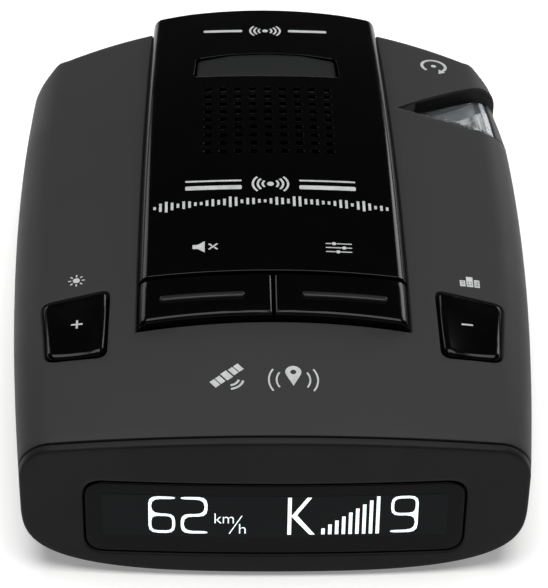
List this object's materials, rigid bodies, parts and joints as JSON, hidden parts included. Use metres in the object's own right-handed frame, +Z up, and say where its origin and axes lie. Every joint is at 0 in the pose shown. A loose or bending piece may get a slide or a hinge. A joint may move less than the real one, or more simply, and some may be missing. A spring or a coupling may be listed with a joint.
{
  "type": "radar detector",
  "caption": "Mouse-shaped windscreen radar detector: dark soft-touch case, gloss centre panel with keys and sound grille, corner lens and front digital display.",
  "frame": {"origin": "middle of the case's outline, on the surface the rubber feet stand on", "axes": "+X to the right when facing the display, +Y from the display to the rear, +Z up"},
  "size_m": [0.0778, 0.1092, 0.029],
  "materials": {
    "soft_grey": "soft-touch painted ABS",
    "case_black": "fine spark-eroded texture",
    "piano_black": "polished piano black",
    "smoked_window": "smoked acrylic, polished",
    "clear_lens": "clear polycarbonate",
    "red_lens": "deep red infrared filter",
    "board_green": "solder-masked glass-epoxy board",
    "chip_black": "moulded epoxy",
    "zinc": "die-cast",
    "tin": "tinned sheet steel",
    "rubber": "moulded silicone rubber",
    "ceramic": "unglazed",
    "label_film": "satin polyester film",
    "flex_film": "polyimide film",
    "gauze": "black woven mesh"
  },
  "bodies": {
    "housing": {"upper_case": "soft_grey", "lower_case": "case_black", "front_bezel": "case_black", "display_window": "smoked_window", "display_frame": "chip_black", "oled_panel": "chip_black", "display_flex": "flex_film", "centre_panel": "piano_black", "grille_gauze": "gauze", "bracket_socket": "case_black", "release_spring_1": "tin", "release_spring_2": "tin", "side_lens": "clear_lens", "lens_reflector": "tin", "side_laser_sensor": "chip_black", "rear_laser_lens": "red_lens", "rear_laser_sensor": "chip_black", "main_board": "board_green", "rf_shield": "tin", "processor_chip": "chip_black", "horn_antenna": "zinc", "gps_antenna": "ceramic", "speaker": "chip_black", "speaker_gasket": "rubber", "backup_cell": "chip_black", "power_jack": "chip_black", "usb_port": "tin", "rating_label": "label_film", "dim_switch": "chip_black", "city_switch": "chip_black", "mute_switch": "chip_black", "prog_switch": "chip_black", "case_screw_1": "tin", "rubber_foot_1": "rubber", "case_screw_2": "tin", "rubber_foot_2": "rubber", "case_screw_3": "tin", "rubber_foot_3": "rubber", "case_screw_4": "tin", "rubber_foot_4": "rubber"},
    "dim_button_body": {"dim_button": "piano_black", "dim_plunger": "rubber"},
    "city_button_body": {"city_button": "piano_black", "city_plunger": "rubber"},
    "mute_key_body": {"mute_key": "piano_black", "mute_plunger": "rubber"},
    "prog_key_body": {"prog_key": "piano_black", "prog_plunger": "rubber"},
    "release_key_body": {"release_key": "piano_black", "release_latch": "tin"}
  },
  "joints": [
    {"name": "dim_press", "type": "slide", "parent": "housing", "child": "dim_button_body", "axis": [0, 0, -1], "range_m": [0, 0.0005], "stiffness_N_per_m": 1200, "springref_m": -0.0005},
    {"name": "city_press", "type": "slide", "parent": "housing", "child": "city_button_body", "axis": [0, 0, -1], "range_m": [0, 0.0005], "stiffness_N_per_m": 1200, "springref_m": -0.0005},
    {"name": "mute_press", "type": "slide", "parent": "housing", "child": "mute_key_body", "axis": [0, 0, -1], "range_m": [0, 0.0005], "stiffness_N_per_m": 1200, "springref_m": -0.0005},
    {"name": "prog_press", "type": "slide", "parent": "housing", "child": "prog_key_body", "axis": [0, 0, -1], "range_m": [0, 0.0005], "stiffness_N_per_m": 1200, "springref_m": -0.0005},
    {"name": "release_press", "type": "slide", "parent": "housing", "child": "release_key_body", "axis": [0, 0, -1], "range_m": [0, 0.0012], "stiffness_N_per_m": 600, "springref_m": -0.0012, "deforming": ["release_spring_1", "release_spring_2"]}
  ]
}
